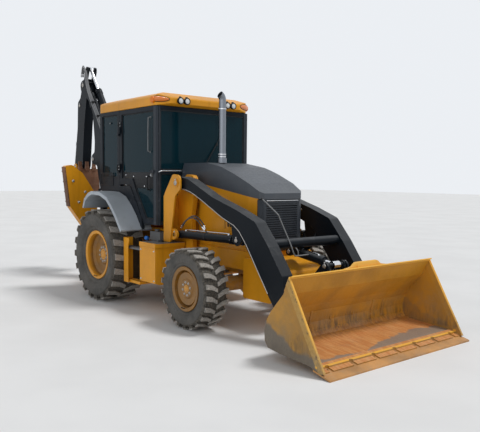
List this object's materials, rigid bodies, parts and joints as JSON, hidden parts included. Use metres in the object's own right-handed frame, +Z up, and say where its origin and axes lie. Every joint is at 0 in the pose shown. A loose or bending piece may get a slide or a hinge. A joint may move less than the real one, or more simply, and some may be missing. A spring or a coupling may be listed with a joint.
{
  "type": "backhoe loader",
  "caption": "Four-wheel backhoe loader with cab, front loader bucket, swinging rear digging arm and folding stabilizers.",
  "frame": {"origin": "on the ground, at the middle of the machine's length and width", "axes": "+X forward, +Y to the machine's left, +Z up"},
  "size_m": [7.3748, 2.18, 3.5899],
  "materials": {
    "yellow_paint": "satin, weathered",
    "dark_paint": "satin",
    "tyre_rubber": "dusty",
    "bright_steel": "worn",
    "grey_paint": "matte",
    "window_glass": "clear tinted",
    "chrome": "polished",
    "interior": "matte"
  },
  "bodies": {
    "chassis": {"main_frame": "yellow_paint", "powertrain": "dark_paint", "front_axle": "yellow_paint", "rear_axle": "dark_paint", "hood": "dark_paint", "side_panels": "yellow_paint", "grille": "dark_paint", "exhaust_stack": "chrome", "cab_frame": "dark_paint", "cab_roof": "yellow_paint", "cab_glass": "window_glass", "cab_lamps": "bright_steel", "cab_interior": "interior", "rear_fenders": "grey_paint", "side_tanks": "yellow_paint", "steps": "yellow_paint", "loader_towers": "yellow_paint", "backhoe_frame": "yellow_paint"},
    "knuckle_left": {"knuckle_left": "yellow_paint"},
    "front_wheel_left": {"front_rim_left": "yellow_paint", "front_tyre_left": "tyre_rubber"},
    "rear_wheel_left": {"rear_rim_left": "yellow_paint", "rear_tyre_left": "tyre_rubber"},
    "door_left": {"door_left": "dark_paint", "door_glass_left": "window_glass"},
    "stabilizer_left": {"stabilizer_left": "yellow_paint"},
    "stab_barrel_left": {"stab_barrel_left": "yellow_paint"},
    "stab_rod_left": {"stab_rod_left": "chrome"},
    "knuckle_right": {"knuckle_right": "yellow_paint"},
    "front_wheel_right": {"front_rim_right": "yellow_paint", "front_tyre_right": "tyre_rubber"},
    "rear_wheel_right": {"rear_rim_right": "yellow_paint", "rear_tyre_right": "tyre_rubber"},
    "door_right": {"door_right": "dark_paint", "door_glass_right": "window_glass"},
    "stabilizer_right": {"stabilizer_right": "yellow_paint"},
    "stab_barrel_right": {"stab_barrel_right": "yellow_paint"},
    "stab_rod_right": {"stab_rod_right": "chrome"},
    "loader_arms": {"loader_arms": "dark_paint", "arm_cross": "dark_paint"},
    "lift_barrels": {"lift_barrels": "yellow_paint"},
    "lift_rods": {"lift_rods": "chrome"},
    "tilt_barrel": {"tilt_barrel": "yellow_paint"},
    "tilt_rod": {"tilt_rod": "chrome"},
    "tilt_guide": {"tilt_guide": "yellow_paint"},
    "tilt_link": {"tilt_link": "yellow_paint"},
    "swing_post": {"swing_post": "yellow_paint"},
    "boom": {"boom": "dark_paint"},
    "boom_barrel": {"boom_barrel": "yellow_paint"},
    "boom_rod": {"boom_rod": "chrome"},
    "dipper": {"dipper": "dark_paint"},
    "crowd_barrel": {"crowd_barrel": "yellow_paint"},
    "crowd_rod": {"crowd_rod": "chrome"},
    "hoe_barrel": {"hoe_barrel": "yellow_paint"},
    "hoe_rod": {"hoe_rod": "chrome"},
    "hoe_guide": {"hoe_guide": "yellow_paint"},
    "hoe_link": {"hoe_link": "yellow_paint"},
    "hoe_bucket": {"hoe_bucket": "yellow_paint"},
    "loader_bucket": {"loader_bucket": "yellow_paint", "cutting_edge": "bright_steel"}
  },
  "joints": [
    {"name": "steer_left", "type": "hinge", "parent": "chassis", "child": "knuckle_left", "pos_m": [1.428, 0.79, 0.46], "axis": [0, 0, 1], "range_deg": [-40, 40]},
    {"name": "front_roll_left", "type": "hinge", "parent": "knuckle_left", "child": "front_wheel_left", "pos_m": [1.428, 0.895, 0.46], "axis": [0, 1, 0], "continuous": true},
    {"name": "rear_roll_left", "type": "hinge", "parent": "chassis", "child": "rear_wheel_left", "pos_m": [-0.712, 0.848, 0.63], "axis": [0, 1, 0], "continuous": true},
    {"name": "door_swing_left", "type": "hinge", "parent": "chassis", "child": "door_left", "pos_m": [-0.56, 0.762, 1.6], "axis": [0, 0, 1], "range_deg": [0, 90]},
    {"name": "steer_right", "type": "hinge", "parent": "chassis", "child": "knuckle_right", "pos_m": [1.428, -0.79, 0.46], "axis": [0, 0, 1], "range_deg": [-40, 40]},
    {"name": "front_roll_right", "type": "hinge", "parent": "knuckle_right", "child": "front_wheel_right", "pos_m": [1.428, -0.895, 0.46], "axis": [0, 1, 0], "continuous": true},
    {"name": "rear_roll_right", "type": "hinge", "parent": "chassis", "child": "rear_wheel_right", "pos_m": [-0.712, -0.848, 0.63], "axis": [0, 1, 0], "continuous": true},
    {"name": "door_swing_right", "type": "hinge", "parent": "chassis", "child": "door_right", "pos_m": [-0.56, -0.762, 1.6], "axis": [0, 0, -1], "range_deg": [0, 90]},
    {"name": "arm_lift", "type": "hinge", "parent": "chassis", "child": "loader_arms", "pos_m": [0.758, 0, 1.64], "axis": [0, -1, 0], "range_deg": [0, 81]},
    {"name": "lift_barrel_turn", "type": "hinge", "parent": "chassis", "child": "lift_barrels", "pos_m": [0.688, 0, 1], "axis": [0, -1, 0], "range_deg": [-1, 62]},
    {"name": "lift_rod_slide", "type": "slide", "parent": "lift_barrels", "child": "lift_rods", "axis": [0.9999, 0, 0.0172], "range_m": [-0.005, 0.675]},
    {"name": "bucket_tilt", "type": "hinge", "parent": "loader_arms", "child": "loader_bucket", "pos_m": [2.718, 0, 0.25], "axis": [0, -1, 0], "range_deg": [-126, 40]},
    {"name": "tilt_guide_turn", "type": "hinge", "parent": "loader_arms", "child": "tilt_guide", "pos_m": [2.518, 0, 0.52], "axis": [0, -1, 0], "range_deg": [-79, 26]},
    {"name": "tilt_link_turn", "type": "hinge", "parent": "loader_bucket", "child": "tilt_link", "pos_m": [2.845, 0, 0.488], "axis": [0, -1, 0], "range_deg": [-41, 127]},
    {"name": "tilt_barrel_turn", "type": "hinge", "parent": "loader_arms", "child": "tilt_barrel", "pos_m": [2.128, 0, 0.89], "axis": [0, -1, 0], "range_deg": [-21, 7]},
    {"name": "tilt_rod_slide", "type": "slide", "parent": "tilt_barrel", "child": "tilt_rod", "axis": [0.9897, 0, -0.1435], "range_m": [-0.09, 0.28]},
    {"name": "hoe_swing", "type": "hinge", "parent": "chassis", "child": "swing_post", "pos_m": [-2.012, 0, 0.79], "axis": [0, 0, 1], "range_deg": [-90, 90]},
    {"name": "boom_lower", "type": "hinge", "parent": "swing_post", "child": "boom", "pos_m": [-2.232, 0, 0.8], "axis": [0, -1, 0], "range_deg": [0, 110]},
    {"name": "boom_barrel_turn", "type": "hinge", "parent": "swing_post", "child": "boom_barrel", "pos_m": [-2.392, 0, 0.58], "axis": [0, -1, 0], "range_deg": [-1, 114]},
    {"name": "boom_rod_slide", "type": "slide", "parent": "boom_barrel", "child": "boom_rod", "axis": [-0.2198, 0, 0.9755], "range_m": [-0.43, 0.005]},
    {"name": "dipper_reach", "type": "hinge", "parent": "boom", "child": "dipper", "pos_m": [-3.042, 0, 3.28], "axis": [0, 1, 0], "range_deg": [0, 110]},
    {"name": "crowd_barrel_turn", "type": "hinge", "parent": "boom", "child": "crowd_barrel", "pos_m": [-2.212, 0, 2.55], "axis": [0, -1, 0], "range_deg": [-1, 8]},
    {"name": "crowd_rod_slide", "type": "slide", "parent": "crowd_barrel", "child": "crowd_rod", "axis": [-0.5843, 0, 0.8115], "range_m": [-0.425, 0.005]},
    {"name": "hoe_bucket_open", "type": "hinge", "parent": "dipper", "child": "hoe_bucket", "pos_m": [-3.372, 0, 1.6], "axis": [0, -1, 0], "range_deg": [-165, 0]},
    {"name": "hoe_guide_turn", "type": "hinge", "parent": "dipper", "child": "hoe_guide", "pos_m": [-3.382, 0, 1.88], "axis": [0, -1, 0], "range_deg": [-100, 1]},
    {"name": "hoe_link_turn", "type": "hinge", "parent": "hoe_bucket", "child": "hoe_link", "pos_m": [-3.231, 0, 1.459], "axis": [0, -1, 0], "range_deg": [-1, 98]},
    {"name": "hoe_barrel_turn", "type": "hinge", "parent": "dipper", "child": "hoe_barrel", "pos_m": [-3.232, 0, 2.95], "axis": [0, -1, 0], "range_deg": [-6, 1]},
    {"name": "hoe_rod_slide", "type": "slide", "parent": "hoe_barrel", "child": "hoe_rod", "axis": [-0.3162, 0, -0.9487], "range_m": [-0.5, 0.005]},
    {"name": "stab_lower_left", "type": "hinge", "parent": "chassis", "child": "stabilizer_left", "pos_m": [-1.637, 0.42, 0.62], "axis": [-1, 0, 0], "range_deg": [0, 92]},
    {"name": "stab_barrel_turn_left", "type": "hinge", "parent": "chassis", "child": "stab_barrel_left", "pos_m": [-1.637, 0.22, 1.46], "axis": [-1, 0, 0], "range_deg": [-1, 5]},
    {"name": "stab_rod_slide_left", "type": "slide", "parent": "stab_barrel_left", "child": "stab_rod_left", "axis": [0, 0.5329, -0.8462], "range_m": [-0.005, 0.455]},
    {"name": "stab_lower_right", "type": "hinge", "parent": "chassis", "child": "stabilizer_right", "pos_m": [-1.637, -0.42, 0.62], "axis": [1, 0, 0], "range_deg": [0, 92]},
    {"name": "stab_barrel_turn_right", "type": "hinge", "parent": "chassis", "child": "stab_barrel_right", "pos_m": [-1.637, -0.22, 1.46], "axis": [1, 0, 0], "range_deg": [-1, 5]},
    {"name": "stab_rod_slide_right", "type": "slide", "parent": "stab_barrel_right", "child": "stab_rod_right", "axis": [0, -0.5329, -0.8462], "range_m": [-0.005, 0.455]}
  ],
  "couplings": [
    {"joint": "steer_right", "follows": "steer_left", "ratio": 1},
    {"joint": "lift_barrel_turn", "follows": "arm_lift", "ratio": 0.756},
    {"joint": "lift_rod_slide", "follows": "arm_lift", "m_per_rad": 0.474},
    {"joint": "tilt_guide_turn", "follows": "bucket_tilt", "ratio": 0.62},
    {"joint": "tilt_link_turn", "follows": "bucket_tilt", "ratio": -1},
    {"joint": "tilt_barrel_turn", "follows": "bucket_tilt", "ratio": 0.163},
    {"joint": "tilt_rod_slide", "follows": "bucket_tilt", "m_per_rad": -0.123},
    {"joint": "boom_barrel_turn", "follows": "boom_lower", "ratio": 1.03},
    {"joint": "boom_rod_slide", "follows": "boom_lower", "m_per_rad": -0.2227},
    {"joint": "crowd_barrel_turn", "follows": "dipper_reach", "ratio": 0.06},
    {"joint": "crowd_rod_slide", "follows": "dipper_reach", "m_per_rad": -0.218},
    {"joint": "hoe_guide_turn", "follows": "hoe_bucket_open", "ratio": 0.6},
    {"joint": "hoe_link_turn", "follows": "hoe_bucket_open", "ratio": -0.584},
    {"joint": "hoe_barrel_turn", "follows": "hoe_bucket_open", "ratio": 0.03},
    {"joint": "hoe_rod_slide", "follows": "hoe_bucket_open", "m_per_rad": 0.1715},
    {"joint": "stab_barrel_turn_left", "follows": "stab_lower_left", "ratio": 0.04},
    {"joint": "stab_rod_slide_left", "follows": "stab_lower_left", "m_per_rad": 0.2792},
    {"joint": "stab_barrel_turn_right", "follows": "stab_lower_right", "ratio": 0.04},
    {"joint": "stab_rod_slide_right", "follows": "stab_lower_right", "m_per_rad": 0.2792}
  ]
}
